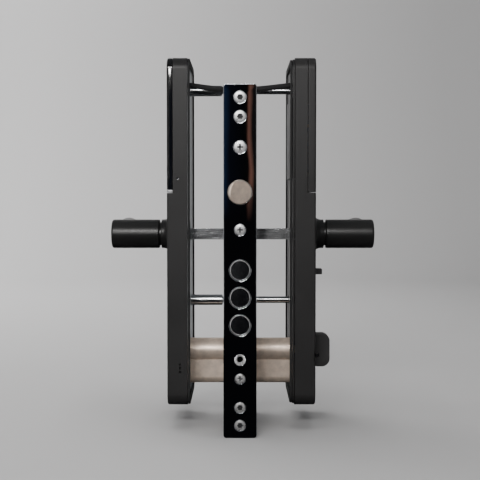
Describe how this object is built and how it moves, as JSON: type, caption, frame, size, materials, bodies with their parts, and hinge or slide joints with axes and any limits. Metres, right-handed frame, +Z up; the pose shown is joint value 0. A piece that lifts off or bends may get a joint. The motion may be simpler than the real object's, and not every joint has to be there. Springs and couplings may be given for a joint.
{
  "type": "keypad smart lock",
  "caption": "Door lock with an outer touch keypad unit, an inner battery unit, lever handles, a thumbturn, and a mortise with a sprung latch and sliding round deadbolts.",
  "frame": {"origin": "on the front of the faceplate, half way through the door's thickness, at the height of the lever axis", "axes": "+X through the door towards the inside, +Y into the door from its edge, +Z up"},
  "size_m": [0.2104, 0.1899, 0.261],
  "materials": {
    "polished_chrome": "mirror polished chrome on stainless steel",
    "satin_nickel": "satin nickel plated steel",
    "steel": "bright plated steel",
    "zinc": "zinc plated pressed steel",
    "brass": "machined brass",
    "black_metal": "fine matte black powder coat on die-cast aluminium",
    "black_gloss": "gloss black hard-coated acrylic",
    "silver_trim": "satin silver plated trim",
    "rubber": "matte black silicone rubber",
    "plastic": "matte black moulded plastic",
    "circuit": "green solder-masked circuit board",
    "cell": "printed metal battery sleeve, plain bands, no text"
  },
  "bodies": {
    "lock": {"faceplate": "polished_chrome", "faceplate_screw_1": "steel", "faceplate_screw_2": "steel", "faceplate_screw_3": "steel", "faceplate_screw_4": "steel", "faceplate_screw_5": "steel", "faceplate_screw_6": "steel", "cylinder_screw": "steel", "lock_case": "zinc", "case_cover": "zinc", "cylinder_body": "satin_nickel", "outer_gasket": "rubber", "outer_plate": "zinc", "outer_housing": "black_metal", "keypad_panel": "black_gloss", "keypad_trim": "silver_trim", "keypad_board": "circuit", "speaker": "plastic", "microphone": "steel", "clutch_module": "plastic", "outer_collar": "black_metal", "outer_spring": "steel", "outer_post_upper": "steel", "outer_post_lower": "steel", "outer_plate_screw_1": "steel", "outer_plate_screw_2": "steel", "link_cable": "rubber", "inner_gasket": "rubber", "inner_plate": "black_metal", "inner_housing": "black_metal", "battery_tray": "plastic", "battery_cell_1": "cell", "battery_cell_2": "cell", "battery_cell_3": "cell", "battery_cell_4": "cell", "main_board": "circuit", "inner_collar": "black_metal", "inner_spring": "steel", "through_bolt_upper": "steel", "through_bolt_lower": "steel", "inner_housing_screw": "steel"},
    "inner_handle": {"inner_lever": "black_metal", "inner_lever_screw": "steel", "inner_spindle": "steel", "outer_spindle": "steel", "follower_hub": "zinc"},
    "latch": {"latch_bolt": "satin_nickel", "latch_spring": "steel"},
    "outer_handle": {"outer_lever": "black_metal"},
    "turn": {"thumbturn": "black_metal", "thumbturn_screw": "steel", "turn_plug": "brass", "cylinder_cam": "steel"},
    "bolts": {"deadbolt_top": "polished_chrome", "deadbolt_middle": "polished_chrome", "deadbolt_bottom": "polished_chrome", "bolt_carriage": "zinc"},
    "key": {"key_plug": "brass"},
    "privacy": {"privacy_slider": "plastic"},
    "cover": {"battery_cover": "black_metal"}
  },
  "joints": [
    {"name": "inner_lever_turn", "type": "hinge", "parent": "lock", "child": "inner_handle", "pos_m": [0.06, 0.06, 0], "axis": [-1, 0, 0], "range_deg": [0, 45], "stiffness_Nm_per_rad": 1.2, "springref_deg": -22.92},
    {"name": "latch_slide", "type": "slide", "parent": "lock", "child": "latch", "axis": [0, 1, 0], "range_m": [0, 0.012], "stiffness_N_per_m": 150, "springref_m": -0.02},
    {"name": "outer_lever_turn", "type": "hinge", "parent": "lock", "child": "outer_handle", "pos_m": [-0.06, 0.06, 0], "axis": [-1, 0, 0], "range_deg": [0, 45], "stiffness_Nm_per_rad": 1.2, "springref_deg": -22.92},
    {"name": "thumbturn_turn", "type": "hinge", "parent": "lock", "child": "turn", "pos_m": [0.06, 0.06, -0.085], "axis": [1, 0, 0], "range_deg": [0, 90]},
    {"name": "deadbolt_slide", "type": "slide", "parent": "lock", "child": "bolts", "axis": [0, -1, 0], "range_m": [0, 0.02]},
    {"name": "key_turn", "type": "hinge", "parent": "lock", "child": "key", "pos_m": [-0.05, 0.06, -0.085], "axis": [1, 0, 0], "range_deg": [0, 90]},
    {"name": "privacy_slide", "type": "slide", "parent": "lock", "child": "privacy", "axis": [0, 1, 0], "range_m": [0, 0.006]},
    {"name": "battery_cover_slide", "type": "slide", "parent": "lock", "child": "cover", "axis": [0, 0, 1], "range_m": [0, 0.008]}
  ],
  "couplings": [
    {"joint": "latch_slide", "follows": "inner_lever_turn", "m_per_rad": 0.015279},
    {"joint": "thumbturn_turn", "follows": "deadbolt_slide", "rad_per_m": 78.54}
  ]
}
